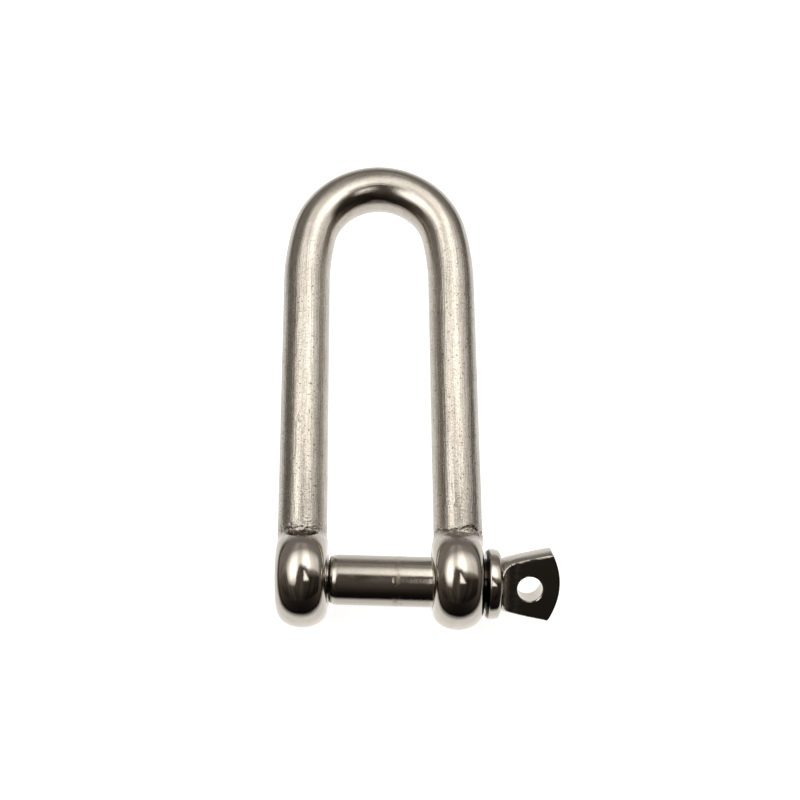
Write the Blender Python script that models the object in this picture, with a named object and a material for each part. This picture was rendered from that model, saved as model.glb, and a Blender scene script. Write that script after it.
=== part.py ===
"""A long dee shackle with a screw pin, in metres, for Blender 4.5.

It is two forgings: the bow, which is a round bar bent into a long D with an eye, or ear,
forged on each end, and the screw pin, which closes the D through both ears.

The shackle lies flat. The pin runs along X with its head at +X, the bow runs from the ears
towards +Y, and the plane of the D is parallel to the XY plane. Everything is drawn about the
point where the pin crosses the middle of the D, and hangs on one empty, which stands the
shackle on Z = 0 with the origin under the middle of its bounding box.
"""

from math import acos, cos, pi, radians, sin, sqrt, tan

import bmesh
import bpy
from mathutils import Matrix, Vector

MM = 0.001

# The bow
BAR_DIAMETER = 9.5 * MM
BAR_GAP = 20.5 * MM             # clear width between the two legs
INSIDE_LENGTH = 74.0 * MM       # from the pin to the inside of the crown
CROWN_RADIUS = 14.15 * MM       # of the bar's centre line
SHOULDER_RADIUS = 50.0 * MM     # of the centre line, easing each leg into the crown

# The ears, round discs whose faces are square to X and whose centres lie on the pin's axis
EAR_RADIUS = 9.05 * MM
EAR_GAP = 20.0 * MM             # clear width between the two inner faces
EAR_THICKNESS = 9.6 * MM
EAR_CROWNING = 3.3 * MM         # how far in from the rim the flat faces begin
BORE_CHAMFER = 0.15 * MM
TAPPED_CHAMFER = 0.6 * MM        # the tapped bore is countersunk past the pin's shoulder
RUNNING_CLEARANCE = 0.3 * MM    # between the pin and all that it passes

# The pin
PIN_DIAMETER = 9.5 * MM
PIN_SKEW = radians(1.8)         # the bores run this much out of square, head end towards -Y
THREAD_DIAMETER = 8.0 * MM
THREAD_PITCH = 1.25 * MM
THREAD_DEPTH = 0.65 * MM
TIP_RECESS = 0.6 * MM           # of the pin's tip, inside the left ear's outer face
THREAD_RUNOUT = 0.8 * MM        # plain length left at each end of the thread
SHOULDER_ROUNDING = 1.0 * MM

# The collar, which stops the pin against the right ear
COLLAR_DIAMETER = 13.3 * MM
COLLAR_WIDTH = 2.9 * MM
COLLAR_CROWNING = 0.35 * MM
COLLAR_CHAMFER = 0.75 * MM

# The head, a flat fan with an eye through it
HEAD_ROLL = radians(28)         # turn of the head's flat faces about the pin, towards -Y
NECK_DIAMETER = 9.6 * MM
NECK_LENGTH = 2.6 * MM          # over which the round neck flattens
HEAD_THICKNESS = 5.0 * MM
HEAD_WIDTH = 13.1 * MM          # across the corners at its free end
HEAD_LENGTH = 9.2 * MM          # from the collar to the corners of the free end
HEAD_END_ROUND = 1.9 * MM       # how far the free end bows out past its corners
HEAD_EDGE_ROUNDING = 0.7 * MM
EYE_DIAMETER = 5.1 * MM
EYE_FROM_END = 5.45 * MM        # from the eye's centre to the middle of the free end

# Fineness of the facets
BAR_SEGMENTS = 28
EAR_SEGMENTS = 40
PIN_SEGMENTS = 40               # a multiple of four
BORE_SEGMENTS = 32
RINGS_PER_PITCH = 4

PIN_RADIUS = PIN_DIAMETER / 2
BAR_RADIUS = BAR_DIAMETER / 2
THREAD_RADIUS = THREAD_DIAMETER / 2
EAR_INNER_X = EAR_GAP / 2
EAR_OUTER_X = EAR_INNER_X + EAR_THICKNESS


def clear_objects():
    """Empty the scene of its objects."""
    for item in list(bpy.data.objects):
        bpy.data.objects.remove(item, do_unlink=True)


def steel(name, colour, roughness):
    """A stainless steel finish."""
    material = bpy.data.materials.new(name)
    material.use_nodes = True
    shader = material.node_tree.nodes["Principled BSDF"]
    shader.inputs["Base Color"].default_value = (*colour, 1.0)
    shader.inputs["Metallic"].default_value = 1.0
    shader.inputs["Roughness"].default_value = roughness
    return material


def solid_from_rings(name, rings, caps=True):
    """A closed mesh through rings of points, each with the same number of points.

    The rings follow one another so that a ring's points turn anticlockwise when seen from
    the far end, looking back at the near one.
    """
    mesh = bpy.data.meshes.new(name)
    form = bmesh.new()
    loops = [[form.verts.new(point) for point in ring] for ring in rings]
    count = len(rings[0])
    for near, far in zip(loops, loops[1:]):
        for here in range(count):
            there = (here + 1) % count
            form.faces.new((near[here], near[there], far[there], far[here]))
    if caps:
        form.faces.new(list(reversed(loops[0])))
        form.faces.new(loops[-1])
    form.to_mesh(mesh)
    form.free()
    item = bpy.data.objects.new(name, mesh)
    bpy.context.collection.objects.link(item)
    return item


def turned_rings(profile, segments):
    """Rings about X through (x, radius) pairs that run from low X to high X."""
    rings = []
    for x, radius in profile:
        turns = [2 * pi * step / segments for step in range(segments)]
        rings.append([Vector((x, radius * cos(turn), radius * sin(turn))) for turn in turns])
    return rings


def skewed(item):
    """Turn an object that was drawn along X onto the pin's own axis."""
    item.data.transform(Matrix.Rotation(-PIN_SKEW, 4, "Z"))
    return item


def boolean(target, other, operation):
    """Join or cut the target with another object, and keep the cutter out of sight."""
    modifier = target.modifiers.new(other.name, "BOOLEAN")
    modifier.operation = operation
    modifier.solver = "EXACT"
    modifier.object = other
    other.hide_render = True
    other.display_type = "WIRE"


def finish(item, material, sharp_angle):
    """Give an object its finish and its smooth shading."""
    item.data.materials.append(material)
    item.data.shade_smooth()
    item.data.set_sharp_from_angle(angle=radians(sharp_angle))


def bow_centre_line():
    """Points and headings along the bar, up the left leg, over the crown and down.

    The heading is the angle of the bar's direction from +Y, positive towards +X.
    """
    half_span = BAR_GAP / 2 + BAR_RADIUS
    crown_y = PIN_RADIUS + INSIDE_LENGTH + BAR_RADIUS - CROWN_RADIUS
    radius_step = SHOULDER_RADIUS - CROWN_RADIUS
    ease = acos((SHOULDER_RADIUS - half_span) / radius_step)
    shoulder_y = crown_y - radius_step * sin(ease)
    leg_steps, shoulder_steps, crown_steps = 3, 4, 26

    left = []
    for step in range(leg_steps):
        left.append((Vector((-half_span, shoulder_y * step / leg_steps, 0)), 0.0))
    for step in range(shoulder_steps):
        turn = ease * step / shoulder_steps
        x = -half_span + SHOULDER_RADIUS * (1 - cos(turn))
        left.append((Vector((x, shoulder_y + SHOULDER_RADIUS * sin(turn), 0)), turn))
    crown = []
    for step in range(crown_steps + 1):
        turn = ease + (pi - 2 * ease) * step / crown_steps
        crown.append((Vector((-CROWN_RADIUS * cos(turn), crown_y + CROWN_RADIUS * sin(turn), 0)), turn))
    right = [(Vector((-point.x, point.y, 0)), pi - turn) for point, turn in reversed(left)]
    return left + crown + right


def make_bar():
    """The round bar, bent into its D, with its ends inside the ears."""
    rings = []
    for point, turn in bow_centre_line():
        sideways = Vector((cos(turn), -sin(turn), 0))
        ring = []
        for step in range(BAR_SEGMENTS):
            angle = 2 * pi * (step + 0.5) / BAR_SEGMENTS
            ring.append(point + BAR_RADIUS * (cos(angle) * sideways - sin(angle) * Vector((0, 0, 1))))
        rings.append(ring)
    return solid_from_rings("bow", rings)


def make_ear(name, side):
    """One ear: a disc with flat faces and a rim that is crowned like a barrel."""
    crowning_steps = 6
    half = EAR_THICKNESS / 2
    flat_radius = EAR_RADIUS - EAR_CROWNING
    profile = []
    for step in range(2 * crowning_steps + 1):
        turn = pi / 2 * (step / crowning_steps - 1)
        profile.append((half * sin(turn), flat_radius + EAR_CROWNING * cos(turn)))
    middle = side * (EAR_INNER_X + half)
    ear = solid_from_rings(name, turned_rings(profile, EAR_SEGMENTS))
    ear.data.transform(Matrix.Translation((middle, -middle * tan(PIN_SKEW), 0)))
    return ear


def make_bore(name, side, radius, chamfer):
    """A cutter for one ear's bore, with a chamfer at each mouth, on the pin's axis."""
    middle = side * (EAR_INNER_X + EAR_THICKNESS / 2)
    half = EAR_THICKNESS / 2
    past = 2 * MM
    flare = radius + chamfer + past
    profile = [(middle - half - past, flare), (middle - half + chamfer, radius),
               (middle + half - chamfer, radius), (middle + half + past, flare)]
    return skewed(solid_from_rings(name, turned_rings(profile, BORE_SEGMENTS)))


def make_bow(material):
    """The bow: bar and ears forged in one, then bored."""
    bow = make_bar()
    pieces = [bow]
    for name, side in (("left_ear_form", -1), ("right_ear_form", 1)):
        ear = make_ear(name, side)
        boolean(bow, ear, "UNION")
        pieces.append(ear)
    bores = (("left_bore", -1, THREAD_RADIUS, TAPPED_CHAMFER),
             ("right_bore", 1, PIN_RADIUS, BORE_CHAMFER))
    for name, side, radius, chamfer in bores:
        bore = make_bore(name, side, radius + RUNNING_CLEARANCE, chamfer)
        boolean(bow, bore, "DIFFERENCE")
        pieces.append(bore)
    finish(bow, material, 35)
    return pieces


def rounded_outline(half_width, half_thickness, corner):
    """Points in Y and Z, evenly spaced round a rectangle with round corners, from +Y to +Z.

    With a corner as large as both halves it is a circle.
    """
    flat_y = half_width - corner
    flat_z = half_thickness - corner
    arc = pi / 2 * corner
    quarter_length = flat_z + arc + flat_y
    points = []
    for step in range(PIN_SEGMENTS // 4):
        along = quarter_length * 4 * step / PIN_SEGMENTS
        if along < flat_z:
            points.append((half_width, along))
        elif along < flat_z + arc:
            turn = (along - flat_z) / corner
            points.append((flat_y + corner * cos(turn), flat_z + corner * sin(turn)))
        else:
            points.append((quarter_length - along, half_thickness))
    top = (0.0, half_thickness)
    upper = points + [top] + [(-y, z) for y, z in reversed(points)]
    return upper + [(y, -z) for y, z in reversed(upper[1:-1])]


def section(x, half_width, half_thickness, corner, bulge=0.0):
    """One ring of the pin, at x. A bulge bows it out along X, most in the middle of its width."""
    outline = rounded_outline(half_width, half_thickness, corner)
    return [Vector((x + bulge * (1 - (y / half_width) ** 2), y, z)) for y, z in outline]


def thread_rings(start, end):
    """Rings of a V thread about X, which fades out over one pitch at each end."""
    steps = round((end - start) / THREAD_PITCH * RINGS_PER_PITCH)
    rings = []
    for step in range(steps + 1):
        x = start + (end - start) * step / steps
        fade = min(1.0, (x - start) / THREAD_PITCH, (end - x) / THREAD_PITCH)
        ring = []
        for point in range(PIN_SEGMENTS):
            turn = 2 * pi * point / PIN_SEGMENTS
            phase = (x / THREAD_PITCH - turn / (2 * pi)) % 1.0
            depth = THREAD_DEPTH * abs(2 * phase - 1) * fade
            radius = THREAD_RADIUS - depth
            ring.append(Vector((x, radius * cos(turn), radius * sin(turn))))
        rings.append(ring)
    return rings


def shank_profile():
    """(x, radius) pairs from the pin's tip to its shoulder, which rounds up to the shank."""
    shoulder = -EAR_INNER_X + RUNNING_CLEARANCE
    profile = []
    rounding_steps = 4
    for step in range(rounding_steps + 1):
        turn = pi / 2 * step / rounding_steps
        profile.append((shoulder + SHOULDER_ROUNDING * (1 - cos(turn)),
                        PIN_RADIUS - SHOULDER_ROUNDING * (1 - sin(turn))))
    return profile


def collar_profile():
    """(x, radius) pairs of the collar's crowned rim, from the right ear outwards."""
    start = EAR_OUTER_X + RUNNING_CLEARANCE
    radius = COLLAR_DIAMETER / 2
    rim_start = start + COLLAR_CHAMFER
    rim_end = start + COLLAR_WIDTH - COLLAR_CHAMFER / 2
    profile = [(start, PIN_RADIUS), (start, radius - COLLAR_CHAMFER - COLLAR_CROWNING)]
    rim_steps = 6
    for step in range(rim_steps + 1):
        across = 2 * step / rim_steps - 1
        x = rim_start + (rim_end - rim_start) * step / rim_steps
        profile.append((x, radius - COLLAR_CROWNING * across ** 2))
    profile.append((start + COLLAR_WIDTH, radius - COLLAR_CHAMFER - COLLAR_CROWNING))
    profile.append((start + COLLAR_WIDTH, NECK_DIAMETER / 2))
    return profile


def head_rings():
    """Rings of the head: a round neck that flattens and spreads into the fan."""
    start = EAR_OUTER_X + RUNNING_CLEARANCE + COLLAR_WIDTH
    neck = NECK_DIAMETER / 2
    flat = HEAD_THICKNESS / 2
    steps = 14
    rings = []
    for step in range(1, steps + 1):
        along = step / steps
        x = HEAD_LENGTH * along
        fall = min(1.0, x / NECK_LENGTH)
        drop = sqrt(1 - (1 - fall) ** 2)
        half_thickness = neck + (flat - neck) * drop
        half_width = neck + (HEAD_WIDTH / 2 - neck) * along ** 0.8
        corner = neck + (HEAD_EDGE_ROUNDING - neck) * drop
        corner = min(corner, half_thickness)
        bulge = HEAD_END_ROUND * along ** 3
        rings.append(section(start + x, half_width, half_thickness, corner, bulge))
    return rings


def close_ends(item):
    """Close the tip with a disc, and the bowed free end of the head with strips."""
    form = bmesh.new()
    form.from_mesh(item.data)
    form.verts.ensure_lookup_table()
    tip = form.verts[:PIN_SEGMENTS]
    end = form.verts[-PIN_SEGMENTS:]
    form.faces.new(tip)
    for index in range(PIN_SEGMENTS // 2):
        corners = [end[index], end[index + 1], end[-1 - index], end[-index]]
        form.faces.new(list(dict.fromkeys(corners)))
    bmesh.ops.recalc_face_normals(form, faces=form.faces)
    form.to_mesh(item.data)
    form.free()


def make_eye_cutter():
    """The cutter for the eye, square to the head's flat faces."""
    head_end = EAR_OUTER_X + RUNNING_CLEARANCE + COLLAR_WIDTH + HEAD_LENGTH + HEAD_END_ROUND
    radius = EYE_DIAMETER / 2
    profile = [(-HEAD_THICKNESS, radius), (HEAD_THICKNESS, radius)]
    eye = solid_from_rings("eye_cutter", turned_rings(profile, BORE_SEGMENTS))
    place = Matrix.Translation((head_end - EYE_FROM_END, 0, 0))
    eye.data.transform(place @ Matrix.Rotation(pi / 2, 4, "Y"))
    return eye


def make_pin(material):
    """The screw pin: thread, shank, collar and head in one, with an eye through the head."""
    tip = -EAR_OUTER_X + TIP_RECESS
    tip_radius = THREAD_RADIUS - THREAD_DEPTH
    rings = [section(tip, tip_radius, tip_radius, tip_radius)]
    rings += thread_rings(tip + THREAD_RUNOUT, -EAR_INNER_X - THREAD_RUNOUT)
    for x, radius in shank_profile() + collar_profile():
        rings.append(section(x, radius, radius, radius))
    rings += head_rings()
    pin = solid_from_rings("screw_pin", rings, caps=False)
    close_ends(pin)

    eye = make_eye_cutter()
    boolean(pin, eye, "DIFFERENCE")
    for item in (pin, eye):
        item.data.transform(Matrix.Rotation(HEAD_ROLL, 4, "X"))
        skewed(item)
    finish(pin, material, 35)
    return [pin, eye]


def stand_on_origin(pieces):
    """Hang the pieces on one empty that brings the origin under their bounding box."""
    view_layer = bpy.context.view_layer
    view_layer.update()
    shapes = [item.evaluated_get(view_layer.depsgraph) for item in pieces if not item.hide_render]
    corners = [Vector(corner) for shape in shapes for corner in shape.bound_box]
    low = Vector([min(corner[axis] for corner in corners) for axis in range(3)])
    high = Vector([max(corner[axis] for corner in corners) for axis in range(3)])
    holder = bpy.data.objects.new("shackle", None)
    bpy.context.collection.objects.link(holder)
    holder.location = (-(low.x + high.x) / 2, -(low.y + high.y) / 2, -low.z)
    for item in pieces:
        item.parent = holder


def main():
    clear_objects()
    satin = steel("satin_stainless", (0.58, 0.55, 0.50), 0.28)
    polished = steel("polished_stainless", (0.60, 0.57, 0.53), 0.16)
    pieces = make_bow(satin) + make_pin(polished)
    stand_on_origin(pieces)


main()
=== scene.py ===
"""A long dee shackle of stainless steel, lying on a white floor in soft studio light.

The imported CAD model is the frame. Its two solids are replaced by finer meshes of the same
shape: the bow, forged from round bar with an ear on each end, and the screw pin. Both are
worked out in millimetres about the point where the pin crosses the middle of the D, with X
along the pin towards its head, Y towards the crown and Z up, and are then moved to where the
CAD model lies.
"""

from math import acos, asin, cos, pi, radians, sin, tan

import bpy
import numpy as np
from mathutils import Matrix, Vector, noise

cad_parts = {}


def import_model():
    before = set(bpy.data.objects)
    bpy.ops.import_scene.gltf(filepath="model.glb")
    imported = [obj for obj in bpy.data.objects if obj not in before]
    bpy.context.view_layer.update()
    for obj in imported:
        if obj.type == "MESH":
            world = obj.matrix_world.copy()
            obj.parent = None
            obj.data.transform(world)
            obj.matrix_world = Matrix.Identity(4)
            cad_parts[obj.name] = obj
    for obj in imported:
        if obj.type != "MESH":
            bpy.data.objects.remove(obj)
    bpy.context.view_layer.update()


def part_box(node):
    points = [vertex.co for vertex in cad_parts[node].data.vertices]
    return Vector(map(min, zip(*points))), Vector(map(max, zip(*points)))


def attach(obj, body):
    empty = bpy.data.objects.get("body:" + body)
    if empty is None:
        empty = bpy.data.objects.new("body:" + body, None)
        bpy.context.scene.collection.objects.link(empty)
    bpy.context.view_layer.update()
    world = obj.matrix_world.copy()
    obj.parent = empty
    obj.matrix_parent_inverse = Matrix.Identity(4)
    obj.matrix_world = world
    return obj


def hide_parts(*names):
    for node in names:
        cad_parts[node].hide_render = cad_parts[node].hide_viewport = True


MM = 0.001

# The bow, in millimetres
BAR_RADIUS = 4.75
LEG_X = 15.0                    # of each leg's centre line
INSIDE_LENGTH = 74.0
CROWN_RADIUS = 14.15
SHOULDER_RADIUS = 50.0
EAR_RADIUS = 9.05
EAR_HALF = 4.8                  # half the ear's thickness
EAR_X = 14.8                    # of the ear's middle
EAR_CROWNING = 3.3
EAR_LIFT = 0.45                 # how much longer the ears are towards the leg
EAR_OFFSET = {-1: (0.0, 0.0), 1: (-0.2, 0.2)}   # of each ear from where it was meant to be
EAR_BLEND = 0.45                # width of the soft join between the ear and the leg
EAR_REACH = 14.0                # how far up the leg from the ear's centre the two are blended
EAR_ZONE = 20.0                 # every mark about the ears lies nearer the pin than this
SEAM_REACH = 8.8                # of the forging seam from the ear's centre
TAPPED_RADIUS = 4.22            # of the left ear's bore, inside its thread
TAPPED_DEPTH = 0.45
COUNTERSINK = 0.75              # deeper than the thread, so that the bore's rim is round
PLAIN_RADIUS = 5.05             # of the right ear's bore
BORE_EASE = 0.3                 # chamfer at the plain bore's ends
RING_STEP = 0.4                 # between the rings along a leg
NICKS = (-LEG_X - 0.5, 30.9, 4.7)   # middle of the cluster of nicks on the left leg
EAR_RINGS = 150                 # more than an ear takes up at either end of the bow's rings

# The pin
PIN_RADIUS = 4.75
PIN_SKEW = radians(1.8)
PIN_DROOP = radians(0.25)       # how far the pin lies askew in its bores
THREAD_RADIUS = 4.0
THREAD_PITCH = 1.25
THREAD_DEPTH = 0.65
TIP_X = -19.0
SHOULDER_X = -9.7
SHOULDER_ROUNDING = 0.7
COLLAR_X = 19.9
COLLAR_WIDTH = 2.9
COLLAR_RADIUS = 6.65
COLLAR_CHAMFER = 0.55
COLLAR_END = COLLAR_X + COLLAR_WIDTH
NECK_RADIUS = 4.8
NECK_LENGTH = 2.6
MARK_X = 2.7                    # of a scratched and stained ring on the shank
HEAD_HALF = 2.5                 # half the head's thickness
HEAD_WIDTH = 14.0
HEAD_LENGTH = 8.8
HEAD_CROWN = 5.5                # radius of the head's rounded sides, across its thickness
EDGE_ROUNDING = 0.35
HEAD_END_ROUND = 1.9            # how far the head's end bows out
HEAD_OFFSET = 0.3               # of the fan from the pin's axis
HEAD_END_LEAN = 0.22            # the end is cut a little out of square
HEAD_ROLL = radians(28)
EYE_RADIUS = 2.55
EYE_FROM_END = 5.3
EYE_EASE = 0.07                 # chamfer at the eye's ends

# Points round a ring, and round a cutter
BOW_POINTS = 152
PIN_POINTS = 128
BORE_POINTS = 96
TAPPED_POINTS = 64


def smoothstep(low, high, value):
    """0 below low, 1 above high, and a smooth rise between them."""
    along = np.clip((value - low) / (high - low), 0.0, 1.0)
    return along * along * (3 - 2 * along)


def wander(points, size, seed):
    """Smooth noise from -1 to 1 at each point, with features of about that size in mm."""
    shift = Vector((seed * 17.3, seed * 5.9, seed * 11.7))
    flat = points.reshape(-1, 3) / size
    values = [noise.noise(Vector(point) + shift) for point in flat.tolist()]
    return np.array(values).reshape(points.shape[:-1])


def grid_normals(grid):
    """Outward unit normals of a grid of rings, rings first, which close on themselves."""
    along = np.gradient(grid, axis=0)
    around = np.roll(grid, -1, axis=1) - np.roll(grid, 1, axis=1)
    normals = np.cross(around, along)
    length = np.linalg.norm(normals, axis=2, keepdims=True)
    return normals / np.maximum(length, 1e-9)


def mesh_from_rings(name, grid, attributes, strip_end=False):
    """A closed mesh through a grid of rings, with a UV map in mm of length and girth.

    attributes holds a value for each point of the grid, under the name the material reads.
    strip_end closes the last ring straight across, from each point to the one opposite it,
    which follows a bowed end. Otherwise a ring is closed by a fan to its middle.
    """
    rings, points = grid.shape[:2]
    index = np.arange(rings * points).reshape(rings, points)
    near, far = index[:-1], index[1:]
    quads = np.stack([near, np.roll(near, -1, 1), np.roll(far, -1, 1), far], axis=2).reshape(-1, 4)
    start, end = index.size, index.size + 1
    first, last = index[0], index[-1]
    caps = [(start, int(b), int(a)) for a, b in zip(first, np.roll(first, -1))]
    if strip_end:
        here = np.arange(points // 2)
        strip = np.stack([last[here], last[here + 1], last[-here - 1], last[-here]], axis=1)
        strip = strip.tolist()
        # At either tip two corners are one point
        strip[0].pop()
        strip[-1].pop(2)
        caps += strip
    else:
        caps += [(end, int(a), int(b)) for a, b in zip(last, np.roll(last, -1))]
    centres = [grid[0].mean(axis=0), grid[-1].mean(axis=0)][:1 if strip_end else 2]
    vertices = np.vstack([grid.reshape(-1, 3), centres])

    mesh = bpy.data.meshes.new(name)
    mesh.from_pydata((vertices * MM).tolist(), [], quads.tolist() + caps)
    step = np.linalg.norm(np.diff(grid, axis=0), axis=2).mean(axis=1)
    length = np.concatenate([[0.0], np.cumsum(step)])
    girth = np.linspace(0.0, 2 * pi, points + 1) * BAR_RADIUS
    u_near, u_far = np.repeat(length[:-1], points), np.repeat(length[1:], points)
    v_here, v_next = np.tile(girth[:-1], rings - 1), np.tile(girth[1:], rings - 1)
    quad_uv = np.stack([u_near, v_here, u_near, v_next, u_far, v_next, u_far, v_here], axis=1)
    cap_uv = np.zeros((sum(len(corners) for corners in caps), 2))
    layer = mesh.uv_layers.new(name="length_and_girth")
    corners = np.vstack([quad_uv.reshape(-1, 2), cap_uv])
    layer.data.foreach_set("uv", corners.ravel().astype(np.float32))
    for key, values in attributes.items():
        ends = [values[0].mean(), values[-1].mean()][:len(centres)]
        data = np.concatenate([values.ravel(), ends]).astype(np.float32)
        mesh.attributes.new(key, "FLOAT", "POINT").data.foreach_set("value", data)
    mesh.validate()
    item = bpy.data.objects.new(name, mesh)
    bpy.context.collection.objects.link(item)
    return item


def round_ring(x, radius, points=PIN_POINTS):
    """Points round the X axis at x. The radius is one number, or one for each point."""
    turns = np.linspace(0.0, 2 * pi, points, endpoint=False)
    return np.stack([np.full(points, x), radius * np.cos(turns), radius * np.sin(turns)], axis=1)


def turned(name, profile, points):
    """A closed turned solid about X through (x, radius) pairs from low X to high X."""
    rings = [round_ring(x, radius, points) for x, radius in profile]
    return mesh_from_rings(name, np.array(rings), {})


def cut(item, cutter):
    """Cut the cutter out of an object for good."""
    modifier = item.modifiers.new("cut", "BOOLEAN")
    modifier.operation = "DIFFERENCE"
    modifier.solver = "EXACT"
    modifier.object = cutter
    graph = bpy.context.evaluated_depsgraph_get()
    mesh = bpy.data.meshes.new_from_object(item.evaluated_get(graph))
    item.modifiers.clear()
    old = item.data
    item.data = mesh
    mesh.name = old.name + "_cut"
    bpy.data.objects.remove(cutter)


def smooth_shade(item, sharp_angle):
    item.data.shade_smooth()
    item.data.set_sharp_from_angle(angle=radians(sharp_angle))


# The bow -----------------------------------------------------------------------------------

def ear_centre_x(side):
    return side * EAR_X + EAR_OFFSET[side][0]


def ear_centre_y(side):
    """The ears sit on the pin's axis, which is out of square to the legs."""
    return -side * EAR_X * tan(PIN_SKEW) + EAR_OFFSET[side][1]


def leg_and_ear(x, y, z, side):
    """How far a point is outside the leg and ear, blended, in mm. x is from the ear's middle."""
    offset = side * LEG_X - ear_centre_x(side)
    leg = np.hypot(x - offset, z) - BAR_RADIUS + 2.0 * (1 - smoothstep(2.5, 7.0, y))
    leg += 1.5 * np.maximum(0.0, 2.5 - y)
    ear_y = (y - EAR_LIFT) * EAR_RADIUS / (EAR_RADIUS + EAR_LIFT)
    rim = np.hypot(ear_y, z) - (EAR_RADIUS - EAR_CROWNING)
    bend = np.hypot(x / EAR_HALF, np.maximum(rim, 0.0) / EAR_CROWNING)
    ear = (bend - 1) * (EAR_HALF + EAR_CROWNING) / 2
    share = np.clip(0.5 + 0.5 * (ear - leg) / EAR_BLEND, 0.0, 1.0)
    return ear * (1 - share) + leg * share - EAR_BLEND * share * (1 - share)


def ear_rings(side):
    """Level rings from the bottom of an ear up to where only the leg is left."""
    turns = np.linspace(0.0, 2 * pi, BOW_POINTS, endpoint=False) + pi / BOW_POINTS
    fall = np.linspace(0.03, pi / 2, 64)
    below = -EAR_RADIUS * np.cos(fall)
    above = np.concatenate([np.arange(0.25, 7.0, 0.25), np.arange(7.0, 12.0, 0.11),
                            np.arange(12.0, EAR_REACH, 0.3)])
    levels = np.concatenate([below, above])[:, None]
    direction_x = -side * np.cos(turns)[None, :]
    direction_z = -np.sin(turns)[None, :]
    low = np.zeros((levels.shape[0], BOW_POINTS))
    high = np.full_like(low, 14.0)
    for _ in range(36):
        middle = (low + high) / 2
        outside = leg_and_ear(middle * direction_x, levels, middle * direction_z, side) > 0
        high = np.where(outside, middle, high)
        low = np.where(outside, low, middle)
    reach = (low + high) / 2
    x = ear_centre_x(side) + reach * direction_x
    z = reach * direction_z
    y = np.broadcast_to(levels + ear_centre_y(side), x.shape)
    return np.stack([x, y, z], axis=2)


def bar_rings():
    """Rings round the bar from above the left ear, over the crown, to above the right ear."""
    crown_y = PIN_RADIUS + INSIDE_LENGTH + BAR_RADIUS - CROWN_RADIUS
    radius_step = SHOULDER_RADIUS - CROWN_RADIUS
    ease = acos((SHOULDER_RADIUS - LEG_X) / radius_step)
    shoulder_y = crown_y - radius_step * sin(ease)
    left = []
    for y in np.arange(EAR_REACH + ear_centre_y(-1) + 0.3, shoulder_y, RING_STEP):
        left.append(((-LEG_X, y), 0.0))
    for turn in np.linspace(0.0, ease, 18, endpoint=False):
        x = -LEG_X + SHOULDER_RADIUS * (1 - cos(turn))
        left.append(((x, shoulder_y + SHOULDER_RADIUS * sin(turn)), turn))
    crown = [((-CROWN_RADIUS * cos(turn), crown_y + CROWN_RADIUS * sin(turn)), turn)
             for turn in np.linspace(ease, pi - ease, 90)]
    right = [((-x, y), pi - turn) for (x, y), turn in reversed(left)]
    start_y = EAR_REACH + ear_centre_y(1) + 0.3
    lowest = left[0][0][1]
    for y in np.arange(lowest - RING_STEP, start_y, -RING_STEP):
        right.append(((LEG_X, y), pi))
    turns = np.linspace(0.0, 2 * pi, BOW_POINTS, endpoint=False) + pi / BOW_POINTS
    rings = []
    for (x, y), heading in left + crown + right:
        out = BAR_RADIUS * np.cos(turns)
        rings.append(np.stack([x + out * cos(heading), y - out * sin(heading),
                               -BAR_RADIUS * np.sin(turns)], axis=1))
    return np.array(rings)


def shut_share(points):
    """How much a point is inside the dished cold shut on top of the left ear, from 0 to 1."""
    x = points[..., 0] - ear_centre_x(-1)
    above = points[..., 1] - ear_centre_y(-1)
    waver = 0.12 * wander(points, 0.9, 31)
    foot = 7.0 + 1.0 * (x / 2.9) ** 2
    share = smoothstep(foot - 0.1, foot + 0.2, above) * (1 - smoothstep(8.4, 8.6, above + waver))
    return share * smoothstep(2.95, 2.6, np.abs(x)) * (points[..., 2] > 0)


def seam_height(points, side):
    """Height of the surface about an ear's forging seam, in mm.

    The left ear has a dished cold shut with a lip above it, and the right one a thin torn line.
    """
    x = points[..., 0] - ear_centre_x(side)
    above = points[..., 1] - ear_centre_y(side)
    crumble = wander(points, 0.42, 41 + side)
    torn = wander(points, 0.7, 47)
    if side < 0:
        dish = -0.60 * shut_share(points) * smoothstep(6.6, 8.5, above)
        ragged = np.clip(0.35 + 2.2 * crumble, -0.6, 1)
        lip = 0.14 * np.exp(-((x + 1.0) / 1.9) ** 2) * np.exp(-((above - 9.1) / 0.4) ** 2) * ragged
        line = -0.12 * np.exp(-((above - 8.75 - 0.4 * torn) / 0.16) ** 2)
        rough = 0.08 * np.exp(-((above - 9.6) / 1.4) ** 2) * np.minimum(crumble, 0.3)
        return dish + lip + line + rough
    course = 8.95 + 0.9 * np.exp(-((x - 2.3) / 1.3) ** 2) + 0.35 * np.exp(-((x + 3.2) / 1.2) ** 2)
    groove = -(0.24 + 0.20 * torn) * np.exp(-((above - course - 0.35 * torn) / 0.17) ** 2)
    worse = 0.5 + 1.2 * smoothstep(0.5, 3.0, x)
    rough = 0.07 * worse * np.exp(-((above - course + 0.3) / 0.8) ** 2)
    return groove + rough * np.clip(crumble * 1.5, -1, 0.5)


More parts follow.
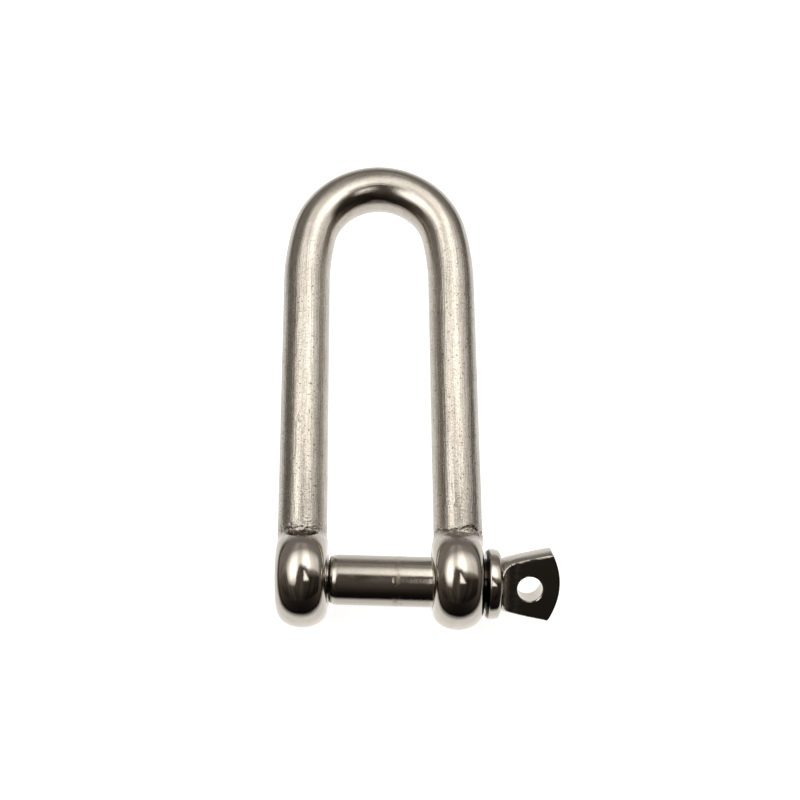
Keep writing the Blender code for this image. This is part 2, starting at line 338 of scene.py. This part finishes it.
def dents(points):
    """Small knocks scattered on the bar, and a cluster of nicks on the left leg."""
    rng = np.random.default_rng(11)
    height = np.zeros(points.shape[:-1])
    rings, around = height.shape
    for _ in range(30):
        place = points[rng.integers(EAR_RINGS, rings - EAR_RINGS), rng.integers(around)]
        stretch = np.array([1.0, 1.0 / rng.uniform(1.0, 2.0), 1.0])
        depth, size = rng.uniform(0.012, 0.03), rng.uniform(0.5, 0.9)
        away = np.linalg.norm((points - place) * stretch, axis=2)
        height -= depth * np.exp(-(away / size) ** 2)
    for turn in np.linspace(0.3, 5.2, 9):
        offset = np.array([0.45 * cos(turn), 0.75 * sin(turn) + 0.12 * turn, 0.0])
        away = np.linalg.norm(points - np.array(NICKS) - offset, axis=2)
        height += (0.05 if turn < 2.6 else -0.09) * np.exp(-(away / 0.3) ** 2)
    return height


def make_bow():
    """The bow as one closed mesh, with its forging seams, knocks and bores."""
    left, right = ear_rings(-1), ear_rings(1)
    grid = np.concatenate([left, bar_rings(), right[::-1]])
    normals = grid_normals(grid)
    height = 0.030 * wander(grid, 7.0, 1) + 0.010 * wander(grid, 1.8, 2)
    x, y = grid[..., 0], grid[..., 1]
    height += seam_height(grid, -1) * (x < 0) * (y < EAR_ZONE)
    height += seam_height(grid, 1) * (x > 0) * (y < EAR_ZONE)
    height += dents(grid)
    above = y - np.where(x < 0, ear_centre_y(-1), ear_centre_y(1))
    height *= smoothstep(-EAR_RADIUS, -EAR_RADIUS + 0.6, above)
    grid = grid + normals * height[..., None]
    polish = 1 - smoothstep(SEAM_REACH - 4.0, SEAM_REACH, above + 0.5 * wander(grid, 1.5, 5))
    polish = np.maximum(polish, 0.6 * smoothstep(60.0, 74.0, y))
    seam = np.exp(-((above - SEAM_REACH - 0.5) / 1.4) ** 2)
    # Where the material paints shade into the cold shut's hollow
    shut = shut_share(grid) * (x < 0) * (y < EAR_ZONE)
    bow = mesh_from_rings("bow_forging", grid, {"polish": polish, "seam": seam, "shut": shut})
    for cutter in (threaded_cutter(), plain_cutter()):
        cutter.data.transform(Matrix.Rotation(-PIN_SKEW, 4, "Z"))
        cut(bow, cutter)
    smooth_shade(bow, 40)
    return bow


def plain_cutter():
    """A cutter for the right ear's bore, which flares out past both of the ear's faces."""
    inner, outer = EAR_X - EAR_HALF, EAR_X + EAR_HALF
    flare = PLAIN_RADIUS + 2 + BORE_EASE
    profile = [(inner - 2, flare), (inner + BORE_EASE, PLAIN_RADIUS),
               (outer - BORE_EASE, PLAIN_RADIUS), (outer + 2, flare)]
    return turned("bore_cutter", profile, BORE_POINTS)


def threaded_cutter():
    """A cutter for the left ear's bore: a V thread, with a countersink at each of its ends."""
    turns = np.linspace(0.0, 2 * pi, TAPPED_POINTS, endpoint=False)
    reach_x = EAR_HALF + 1.5
    rings = []
    for x in np.arange(-EAR_X - reach_x, -EAR_X + reach_x, THREAD_PITCH / 10):
        phase = (x / THREAD_PITCH - turns / (2 * pi)) % 1.0
        thread = 0.1 + TAPPED_DEPTH * (1 - np.abs(2 * phase - 1))
        flare = max(0.0, abs(x + EAR_X) - EAR_HALF + COUNTERSINK)
        radius = TAPPED_RADIUS + np.maximum(thread, flare)
        rings.append(round_ring(x, radius, TAPPED_POINTS))
    return mesh_from_rings("bore_cutter", np.array(rings), {})


# The screw pin -----------------------------------------------------------------------------

def outline(half_width, half_thickness, crown):
    """Points in Y and Z, evenly spaced round a flattened bar, from +Y to +Z and on round.

    Its two faces are flat and its two sides are arcs of the radius crown, with a small edge
    rounding between them. With all three sizes the same it is a circle.
    """
    edge = min(EDGE_ROUNDING, half_thickness)
    turn_end = asin(min(1.0, (half_thickness - edge) / (crown - edge + 1e-9)))
    turns = np.linspace(0.0, turn_end, 60)
    side_y = half_width - crown + crown * np.cos(turns)
    side_z = crown * np.sin(turns)
    pivot_y = half_width - crown + (crown - edge) * cos(turn_end)
    turns = np.linspace(turn_end, pi / 2, 30)[1:]
    edge_y = pivot_y + edge * np.cos(turns)
    edge_z = half_thickness - edge + edge * np.sin(turns)
    dense_y = np.concatenate([side_y, edge_y, [0.0]])
    dense_z = np.concatenate([side_z, edge_z, [half_thickness]])
    gone = np.concatenate([[0.0], np.cumsum(np.hypot(np.diff(dense_y), np.diff(dense_z)))])
    along = np.linspace(0.0, gone[-1], PIN_POINTS // 4 + 1)
    y, z = np.interp(along, gone, dense_y), np.interp(along, gone, dense_z)
    upper_y = np.concatenate([y, -y[-2::-1]])
    upper_z = np.concatenate([z, z[-2::-1]])
    y = np.concatenate([upper_y, upper_y[-2:0:-1]])
    z = np.concatenate([upper_z, -upper_z[-2:0:-1]])
    return y, z


def ring_at(x, half_width, half_thickness, crown, along=0.0):
    """One ring of the pin, at x, bowed out along X most in the middle of its width.

    along is how far it is towards the head's free end, where it is bowed and leans the most.
    """
    y, z = outline(half_width, half_thickness, crown)
    across = y / half_width
    reach = HEAD_END_ROUND * (1 - across ** 2) + HEAD_END_LEAN * across
    return np.stack([x + along ** 3 * reach, y + along * HEAD_OFFSET, z], axis=1)


def thread_rings(start, end):
    """Rings of a V thread that fades out over one pitch at each end."""
    turns = np.linspace(0.0, 2 * pi, PIN_POINTS, endpoint=False)
    rings = []
    for x in np.arange(start, end, THREAD_PITCH / 16):
        fade = min(1.0, (x - start) / THREAD_PITCH, (end - x) / THREAD_PITCH)
        phase = (x / THREAD_PITCH - turns / (2 * pi)) % 1.0
        radius = THREAD_RADIUS - THREAD_DEPTH * fade * np.minimum(1.0, 1.25 * np.abs(2 * phase - 1))
        rings.append(round_ring(x, radius))
    return rings


def collar_profile():
    """(x, radius) pairs of the collar: a 45 degree chamfer towards the ear and a crowned rim."""
    foot, shoulder = COLLAR_RADIUS - COLLAR_CHAMFER - 0.03, COLLAR_X + COLLAR_CHAMFER
    profile = [(COLLAR_X, radius) for radius in np.linspace(PIN_RADIUS, foot - 0.1, 6)]
    steps = np.linspace(0.02, COLLAR_CHAMFER - 0.06, 10)
    profile += [(COLLAR_X + step, foot + step) for step in steps]
    for along in np.linspace(0.06, 1.0, 26):
        x = shoulder + (COLLAR_END - 0.08 - shoulder) * along
        drop = 0.03 * (1 - along) ** 2 + 0.30 * along ** 2 + 0.75 * along ** 9
        profile.append((x, COLLAR_RADIUS - drop))
    inner = np.linspace(COLLAR_RADIUS - 1.15, NECK_RADIUS + 0.1, 6)
    profile += [(COLLAR_END, radius) for radius in inner]
    return profile


def head_rings():
    """Rings of the head: a round neck that is pressed flat and spreads into the fan."""
    rings = []
    for along in np.linspace(0.0, 1.0, 74)[1:]:
        x = HEAD_LENGTH * along
        drop = np.sqrt(1 - (1 - min(1.0, x / NECK_LENGTH)) ** 2)
        half_thickness = NECK_RADIUS + (HEAD_HALF - NECK_RADIUS) * drop
        half_width = NECK_RADIUS + (HEAD_WIDTH / 2 - NECK_RADIUS) * along ** 0.8
        crown = NECK_RADIUS + (HEAD_CROWN - NECK_RADIUS) * along
        rings.append(ring_at(COLLAR_END + x, half_width, half_thickness, crown, along))
    return rings


def head_end_rings():
    """The head's bowed free end, eased round at its edge and then thinned towards its middle."""
    rings = []
    for turn in np.linspace(0.0, pi / 2, 7)[1:]:
        inset = EDGE_ROUNDING * (1 - cos(turn))
        x = COLLAR_END + HEAD_LENGTH + EDGE_ROUNDING * sin(turn)
        rings.append(ring_at(x, HEAD_WIDTH / 2 - inset, HEAD_HALF - inset, HEAD_CROWN - inset, 1.0))
    edge = rings[-1]
    rings += [edge * np.array([1.0, 1.0, share]) for share in np.linspace(1.0, 0.0, 12)[1:-1]]
    return rings


def eye_cutter():
    """A cutter for the eye, through the head's two faces, with a small burr inside its back rim."""
    back, front, flare = -HEAD_HALF, HEAD_HALF, EYE_RADIUS + EYE_EASE
    profile = [(back - 0.8, flare + 0.8), (back, flare), (back + EYE_EASE, EYE_RADIUS - 0.10),
               (back + 0.16, EYE_RADIUS - 0.15), (back + 0.34, EYE_RADIUS),
               (front - EYE_EASE, EYE_RADIUS), (front, flare), (front + 0.8, flare + 0.8)]
    eye = turned("eye_cutter", profile, BORE_POINTS)
    x = COLLAR_END + HEAD_LENGTH + HEAD_END_ROUND - EYE_FROM_END
    eye.data.transform(Matrix.Translation((x * MM, 0, 0)) @ Matrix.Rotation(pi / 2, 4, "Y"))
    return eye


def make_pin():
    """The screw pin as one closed mesh: thread, shank, collar and head, with its eye."""
    rings = [round_ring(TIP_X, radius) for radius in (1.2, 2.4, 3.0)]
    rings.append(round_ring(TIP_X + 0.4, 3.35))
    rings += thread_rings(TIP_X + 0.6, SHOULDER_X - 1.1)
    rings += [round_ring(SHOULDER_X, radius) for radius in (3.7, 3.85, 4.0)]
    for turn in np.linspace(0.0, pi / 2, 14):
        rings.append(round_ring(SHOULDER_X + 1.8 * (1 - cos(turn)),
                                PIN_RADIUS - SHOULDER_ROUNDING * (1 - sin(turn))))
    for x in np.linspace(SHOULDER_X + 2.0, COLLAR_X - 0.2, 110):
        rings.append(round_ring(x, PIN_RADIUS))
    rings += [round_ring(x, radius) for x, radius in collar_profile()]
    rings += head_rings() + head_end_rings()
    grid = np.array(rings)
    normals = grid_normals(grid)
    x = grid[..., 0]
    shank = smoothstep(-9.0, -8.0, x) * (1 - smoothstep(9.0, 9.8, x))
    past = x - COLLAR_END
    neck = smoothstep(0.1, 0.5, past) * (1 - smoothstep(2.7, 4.7, past))
    height = 0.006 * wander(grid, 2.2, 61)
    height += 0.03 * neck * wander(grid * np.array([0.4, 1.6, 1.6]), 0.8, 63)
    mark = x - MARK_X - 0.25 * wander(grid, 2.0, 67)
    stain = np.exp(-((x - MARK_X - 0.6 + 0.5 * wander(grid, 2.5, 71)) / 0.9) ** 2)
    height -= 0.035 * np.exp(-(mark / 0.22) ** 2) * np.clip(0.4 + wander(grid, 1.5, 69), 0, 1)
    height *= smoothstep(TIP_X + 0.1, TIP_X + 1.0, x) * (1 - smoothstep(9.2, 10.2, past))
    grid = grid + normals * height[..., None]
    # Painted shade: groove is 1 in the gap between the right ear and the collar, and 0.5 at the
    # shank's shoulder by the left ear. The material paints the colour nearly black there.
    groove = smoothstep(18.0, COLLAR_X - 0.3, x)
    groove *= 1 - smoothstep(COLLAR_X + 0.36, COLLAR_X + 0.56, x)
    before_shank = 1 - smoothstep(SHOULDER_X + 0.1, SHOULDER_X + 0.55, x)
    groove += 0.5 * (x > SHOULDER_X - 0.6) * before_shank
    marks = {"shank": shank, "neck": neck, "groove": groove, "stain": stain}
    pin = mesh_from_rings("screw_pin_forging", grid, marks, strip_end=True)
    cut(pin, eye_cutter())
    skew = Matrix.Rotation(-PIN_SKEW - PIN_DROOP, 4, "Z")
    pin.data.transform(skew @ Matrix.Rotation(HEAD_ROLL, 4, "X"))
    smooth_shade(pin, 38)
    return pin


# Materials ---------------------------------------------------------------------------------

class Nodes:
    """Builds a node tree a few words at a time."""

    def __init__(self, tree):
        self.tree = tree

    def add(self, kind, inputs=(), **settings):
        node = self.tree.nodes.new("ShaderNode" + kind)
        for key, value in settings.items():
            setattr(node, key, value)
        for key, value in dict(inputs).items():
            self.put(node.inputs[key], value)
        return node

    def put(self, socket, value):
        if isinstance(value, bpy.types.NodeSocket):
            self.tree.links.new(value, socket)
        else:
            socket.default_value = value

    def math(self, operation, first, second=0.0, third=0.0):
        node = self.add("Math", {0: first, 1: second, 2: third}, operation=operation)
        return node.outputs[0]

    def remap(self, value, low, high, out_low=0.0, out_high=1.0, smooth=True):
        kind = "SMOOTHSTEP" if smooth else "LINEAR"
        inputs = {"Value": value, "From Min": low, "From Max": high, "To Min": out_low,
                  "To Max": out_high}
        return self.add("MapRange", inputs, interpolation_type=kind).outputs["Result"]

    def mix(self, share, first, second):
        node = self.add("Mix", {0: share, 6: first, 7: second}, data_type="RGBA")
        return node.outputs[2]

    def scaled(self, vector, scale):
        node = self.add("VectorMath", {0: vector, 1: scale}, operation="MULTIPLY")
        return node.outputs[0]

    def noise(self, vector, scale, detail=3.0, roughness=0.55):
        node = self.add("TexNoise", {"Vector": vector, "Scale": scale, "Detail": detail,
                                     "Roughness": roughness})
        return node.outputs["Fac"]

    def attribute(self, name):
        return self.add("Attribute", attribute_name=name).outputs["Fac"]

    def bump(self, height, distance):
        """The normal of a surface bumped by a height of about 1 times distance, in metres."""
        inputs = {"Height": height, "Distance": distance, "Strength": 0.6}
        return self.add("Bump", inputs).outputs["Normal"]


def new_metal(name):
    """A material with its Principled shader set to bare metal, and a Nodes to build on it."""
    material = bpy.data.materials.new(name)
    material.use_nodes = True
    shader = material.node_tree.nodes["Principled BSDF"]
    shader.inputs["Metallic"].default_value = 1.0
    return material, shader, Nodes(material.node_tree)


def bow_material():
    """Tumbled satin bar with lengthwise grain and fine pits, brightly polished ears, and painted
    shade in the left ear's cold shut.
    """
    material, shader, n = new_metal("bow_stainless")
    place = n.add("TexCoord").outputs["Object"]
    lengths = n.add("UVMap", uv_map="length_and_girth").outputs["UV"]
    polish, seam, shut = n.attribute("polish"), n.attribute("seam"), n.attribute("shut")
    satin = n.math("SUBTRACT", 1.0, polish)

    grain = n.noise(n.scaled(lengths, (0.10, 3.2, 1.0)), 1.0, 4.0, 0.6)
    mottle = n.noise(place, 260.0, 4.0)
    fine = n.noise(place, 3300.0, 3.0, 0.7)
    speck = n.noise(place, 2100.0, 2.0, 0.5)
    pits = n.math("MULTIPLY", n.remap(speck, 0.63, 0.70), satin)
    seam_grain = n.math("MULTIPLY", n.noise(place, 1900.0, 3.0, 0.7), seam)

    tone = n.mix(n.remap(mottle, 0.3, 0.7), (0.590, 0.550, 0.490, 1), (0.655, 0.615, 0.555, 1))
    dull = n.math("MULTIPLY", n.remap(fine, 0.58, 0.38), n.math("MULTIPLY_ADD", satin, 0.22, 0.08))
    tone = n.mix(dull, tone, (0.22, 0.20, 0.175, 1))
    streaks = n.math("MULTIPLY", n.remap(grain, 0.50, 0.66), n.math("MULTIPLY", satin, 0.55))
    tone = n.mix(streaks, tone, (0.34, 0.31, 0.27, 1))
    tone = n.mix(n.math("MULTIPLY", pits, 0.7), tone, (0.12, 0.105, 0.09, 1))
    # Painted shade: nearly black inside the dished cold shut on the left ear
    tone = n.mix(n.math("MULTIPLY", shut, 0.8), tone, (0.10, 0.085, 0.07, 1))
    n.put(shader.inputs["Base Color"], tone)

    rough = n.math("MULTIPLY_ADD", satin, 0.065, 0.085)
    uneven, share = n.math("SUBTRACT", grain, 0.5), n.math("MULTIPLY", satin, 0.12)
    rough = n.math("MULTIPLY_ADD", uneven, share, rough)
    rough = n.math("MULTIPLY_ADD", seam_grain, 0.30, rough)
    n.put(shader.inputs["Roughness"], rough)

    height = n.math("MULTIPLY", grain, n.math("MULTIPLY", satin, 3.2))
    height = n.math("MULTIPLY_ADD", fine, n.math("MULTIPLY_ADD", satin, 0.95, 0.35), height)
    height = n.math("MULTIPLY_ADD", pits, -0.7, height)
    height = n.math("MULTIPLY_ADD", seam_grain, 2.5, height)
    n.put(shader.inputs["Normal"], n.bump(height, 0.00003))
    return material


def pin_material():
    """Polished steel: a worn shank with a stained ring, a mirror collar and head, a rough neck, and
    painted shade beside the collar and at the shank's shoulder.
    """
    material, shader, n = new_metal("pin_stainless")
    place = n.add("TexCoord").outputs["Object"]
    shank, neck, groove = n.attribute("shank"), n.attribute("neck"), n.attribute("groove")
    stain = n.attribute("stain")
    stain = n.math("MULTIPLY", stain, n.remap(n.noise(place, 700.0, 3.0), 0.38, 0.62))

    wear = n.math("MULTIPLY", n.remap(n.noise(place, 220.0, 3.0), 0.42, 0.62), shank)
    rings = n.noise(n.scaled(place, (1.0, 0.03, 0.03)), 2600.0, 3.0, 0.6)
    fine = n.noise(place, 2900.0, 3.0, 0.7)
    tone = n.mix(n.noise(place, 300.0), (0.58, 0.54, 0.485, 1), (0.64, 0.60, 0.54, 1))
    tone = n.mix(n.math("MULTIPLY", n.remap(fine, 0.58, 0.38), 0.14), tone, (0.22, 0.20, 0.175, 1))
    tone = n.mix(n.math("MULTIPLY", shank, 0.22), tone, (0.22, 0.20, 0.175, 1))
    tone = n.mix(n.math("MULTIPLY", stain, 0.45), tone, (0.34, 0.26, 0.18, 1))
    # Painted shade: nearly black in the gap beside the collar and at the shank's shoulder
    n.put(shader.inputs["Base Color"], n.mix(groove, tone, (0.035, 0.03, 0.025, 1)))
    rough = n.math("MULTIPLY_ADD", shank, 0.02, 0.08)
    rough = n.math("MULTIPLY_ADD", wear, 0.05, rough)
    rough = n.math("MULTIPLY_ADD", stain, 0.20, rough)
    rough = n.math("MULTIPLY_ADD", neck, 0.14, rough)
    n.put(shader.inputs["Roughness"], rough)

    height = n.math("MULTIPLY", rings, n.math("MULTIPLY_ADD", shank, 0.22, 0.05))
    height = n.math("MULTIPLY_ADD", fine, n.math("MULTIPLY_ADD", shank, 0.9, 0.25), height)
    pressed = n.noise(n.scaled(place, (1.0, 0.25, 0.25)), 2200.0, 3.0, 0.6)
    height = n.math("MULTIPLY_ADD", n.math("MULTIPLY", pressed, neck), 4.0, height)
    n.put(shader.inputs["Normal"], n.bump(height, 0.00002))
    return material


# Studio ------------------------------------------------------------------------------------

# In metres. The canopy hangs level above the pin and reaches further towards the crown.
CANOPY_HEIGHT = 0.28
CANOPY_X = 0.90
CANOPY_Y = (-0.50, 0.90)
FLOOR_REACH = 4.0

# The room's light by how far a direction points towards +Y, from 0 for -Y to 1 for +Y
ROOM_STEPS = ((0.0, (0.007, 0.006, 0.0055)), (0.10, (0.024, 0.018, 0.015)),
              (0.25, (0.062, 0.047, 0.038)), (0.42, (0.10, 0.08, 0.066)),
              (0.52, (0.17, 0.155, 0.14)), (0.70, (0.235, 0.22, 0.20)), (1.0, (0.23, 0.215, 0.20)))

# The camera, in millimetres from the middle of the pin and in degrees
CAMERA_PLACE = (-0.058, -28.162, 200.876)
CAMERA_TILT = 17.74
CAMERA_ROLL = -0.274
CAMERA_YAW = 1.128
LENS = 47.25


def soft_band(n, value, low, high, edge):
    """1 between low and high and 0 outside them, with soft edges."""
    rise = n.remap(value, low - edge, low + edge)
    return n.math("MULTIPLY", rise, n.remap(value, high + edge, high - edge))


def make_canopy(origin):
    """A soft overhead light in a dim frame, with two bright lobes that fade out towards +Y.

    Its places are in metres from the point above the middle of the pin. It is built as what
    polished steel mirrors, and the camera doesn't see it.
    """
    mesh = bpy.data.meshes.new("light_canopy")
    low_y, high_y = CANOPY_Y
    mesh.from_pydata([(-CANOPY_X, low_y, 0), (-CANOPY_X, high_y, 0), (CANOPY_X, high_y, 0),
                      (CANOPY_X, low_y, 0)], [], [(0, 1, 2, 3)])
    canopy = bpy.data.objects.new("light_canopy", mesh)
    canopy.location = origin + Vector((0, 0, CANOPY_HEIGHT))
    canopy.visible_camera = False
    bpy.context.collection.objects.link(canopy)

    material = bpy.data.materials.new("light_canopy")
    material.use_nodes = True
    tree = material.node_tree
    tree.nodes.remove(tree.nodes["Principled BSDF"])
    n = Nodes(tree)
    strength = canopy_strength(n)
    colour = n.mix(n.remap(strength, 0.02, 0.5), (1.0, 0.84, 0.70, 1), (1.0, 0.965, 0.92, 1))
    emission = n.add("Emission", {"Color": colour, "Strength": strength})
    tree.links.new(emission.outputs[0], tree.nodes["Material Output"].inputs["Surface"])
    mesh.materials.append(material)


def canopy_strength(n):
    """How bright the canopy is at each place."""
    place = n.add("TexCoord").outputs["Object"]
    parts = n.add("SeparateXYZ", {0: place})
    x, y = parts.outputs["X"], parts.outputs["Y"]

    # Across: a wide soft light with two brighter lobes
    left_lobe = soft_band(n, x, -0.205, -0.080, 0.035)
    right_lobe = soft_band(n, x, 0.010, 0.145, 0.035)
    lobes = n.math("MAXIMUM", left_lobe, right_lobe)
    wide = n.remap(x, -0.37, -0.21, 0.32, 1.18)
    wide = n.math("MULTIPLY", wide, n.remap(x, 0.16, 0.34, 1.0, 0.68))
    wide = n.math("MULTIPLY", wide, n.remap(x, 0.34, 0.90, 1.0, 0.45))
    across = n.math("MULTIPLY_ADD", lobes, 1.05, wide)

    # The lower edge steps up from the left lobe to the right one
    left_edge = n.remap(x, -0.32, -0.24, 0.04, -0.09)
    inward = n.math("MAXIMUM", n.math("SUBTRACT", 0.12, x), 0.0)
    right_edge = n.math("MULTIPLY_ADD", inward, 0.30, 0.052)
    step = n.remap(n.math("MULTIPLY_ADD", y, -0.25, x), -0.077, -0.064)
    edge = n.math("MULTIPLY_ADD", step, n.math("SUBTRACT", right_edge, left_edge), left_edge)
    ragged = n.math("MULTIPLY_ADD", n.noise(place, 22.0, 2.0), 0.05, -0.025)
    past_edge = n.math("SUBTRACT", y, edge)
    ragged = n.math("ADD", past_edge, ragged)
    dark_end = n.math("MULTIPLY_ADD", step, 0.042, -0.07)
    lit = n.remap(ragged, dark_end, n.math("MULTIPLY_ADD", step, -0.055, 0.09))
    fade = n.remap(n.math("MULTIPLY_ADD", x, -0.3, y), 0.10, 0.46, 1.0, 0.10)
    light = n.math("MULTIPLY", n.math("MULTIPLY", across, fade), lit)

    # What is dark isn't black
    streaks = n.noise(n.scaled(place, (14.0, 1.5, 1.0)), 1.0, 2.0)
    dusk = n.remap(y, -0.40, 0.0, 0.022, 0.08)
    dusk = n.math("MULTIPLY", dusk, n.remap(streaks, 0.35, 0.65, 0.5, 1.4))
    dusk = n.math("MULTIPLY", dusk, n.remap(x, -0.10, 0.10, 1.7, 0.5))
    room = n.remap(y, 0.02, 0.34, 0.0, 0.20)
    skirt = n.math("MULTIPLY", n.remap(past_edge, -0.10, -0.02), n.remap(x, 0.04, 0.09, 0.0, 0.20))
    dusk = n.math("ADD", dusk, skirt)
    dim = n.math("ADD", n.math("MULTIPLY", dusk, n.math("SUBTRACT", 1.0, lit)), room)

    # A little three-cornered light in the gap between the lobes
    slope = n.math("SUBTRACT", n.math("MULTIPLY_ADD", x, -1.2, 0.088), y)
    corner = n.math("MULTIPLY", n.remap(slope, 0.0, 0.03), n.remap(y, -0.090, -0.066))
    corner = n.math("MULTIPLY", corner, n.remap(x, 0.023, 0.034))
    return n.math("MAXIMUM", n.math("ADD", light, dim), n.math("MULTIPLY", corner, 1.6))


def make_world():
    """The room: dim and warm all round, darkest towards -Y, and white below like the table."""
    world = bpy.data.worlds.new("studio")
    bpy.context.scene.world = world
    world.use_nodes = True
    tree = world.node_tree
    n = Nodes(tree)
    direction = n.add("TexCoord").outputs["Generated"]
    parts = n.add("SeparateXYZ", {0: direction})
    y, z = parts.outputs["Y"], parts.outputs["Z"]
    ramp = n.add("ValToRGB", {"Fac": n.math("MULTIPLY_ADD", y, 0.5, 0.5)})
    bands = ramp.color_ramp.elements
    for band, (position, colour) in zip(bands, (ROOM_STEPS[0], ROOM_STEPS[-1])):
        band.position, band.color = position, (*colour, 1)
    for position, colour in ROOM_STEPS[1:-1]:
        bands.new(position).color = (*colour, 1)
    down = n.math("MULTIPLY", z, -1.0)
    table_edge = n.remap(y, 0.6, 1.0, 0.12, -0.04)
    far_table = n.remap(down, table_edge, 0.38, 0.0, 0.92, smooth=False)
    near_table = n.remap(down, 0.40, 0.95, 0.0, 0.14)
    table = n.scaled((1.0, 0.985, 0.965), n.math("ADD", far_table, near_table))
    walls = n.scaled(ramp.outputs["Color"], n.remap(down, -0.04, 0.14, 1.0, 0.0))
    room = n.add("VectorMath", {0: table, 1: walls}, operation="ADD").outputs[0]
    to_camera = n.add("LightPath").outputs["Is Camera Ray"]
    colour = n.mix(to_camera, room, (1, 1, 1, 1))
    background = tree.nodes["Background"]
    n.put(background.inputs["Color"], colour)


def make_floor(height):
    """A plain white sheet, which glows a little, as an evenly lit table does."""
    mesh = bpy.data.meshes.new("floor")
    corners = [(x * FLOOR_REACH, y * FLOOR_REACH, 0)
               for x, y in ((-1, -1), (1, -1), (1, 1), (-1, 1))]
    mesh.from_pydata(corners, [], [(0, 1, 2, 3)])
    floor = bpy.data.objects.new("floor", mesh)
    floor.location.z = height
    floor.visible_glossy = False
    bpy.context.collection.objects.link(floor)
    material = bpy.data.materials.new("floor")
    material.use_nodes = True
    shader = material.node_tree.nodes["Principled BSDF"]
    shader.inputs["Base Color"].default_value = (0.85, 0.85, 0.85, 1)
    shader.inputs["Roughness"].default_value = 1.0
    shader.inputs["Specular IOR Level"].default_value = 0.0
    shader.inputs["Emission Color"].default_value = (1, 1, 1, 1)
    shader.inputs["Emission Strength"].default_value = 0.85
    mesh.materials.append(material)


def make_camera(origin):
    """Looks down on the shackle from above and before its pin, tilted towards the crown."""
    data = bpy.data.cameras.new("camera")
    data.lens = LENS
    camera = bpy.data.objects.new("camera", data)
    bpy.context.collection.objects.link(camera)
    tilt, roll, yaw = radians(CAMERA_TILT), radians(CAMERA_ROLL), radians(CAMERA_YAW)
    right, up = Vector((1, 0, 0)), Vector((0, cos(tilt), sin(tilt)))
    back = right.cross(up)
    right, back = right * cos(yaw) + back * sin(yaw), back * cos(yaw) - right * sin(yaw)
    right, up = right * cos(roll) + up * sin(roll), up * cos(roll) - right * sin(roll)
    camera.matrix_world = Matrix((right, up, back)).transposed().to_4x4()
    camera.location = origin + Vector(CAMERA_PLACE) * MM
    data.clip_start, data.clip_end = 0.01, 20.0
    bpy.context.scene.camera = camera


def main():
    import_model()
    low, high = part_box("bow")
    middle = (low + high) / 2
    origin = Vector((middle.x, low.y + (EAR_RADIUS + EAR_X * tan(PIN_SKEW)) * MM, middle.z))

    pieces = ((make_bow(), "bow", "bow", "satin_stainless", bow_material()),
              (make_pin(), "pin", "screw_pin", "polished_stainless", pin_material()))
    for piece, body, node, slot, material in pieces:
        piece.data.transform(Matrix.Translation(origin))
        piece.data.materials.clear()
        piece.data.materials.append(material)
        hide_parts(node)
        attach(piece, body)

    make_floor(low.z)
    make_canopy(origin)
    make_world()
    make_camera(origin)
    bpy.context.scene.view_settings.view_transform = "Standard"


main()
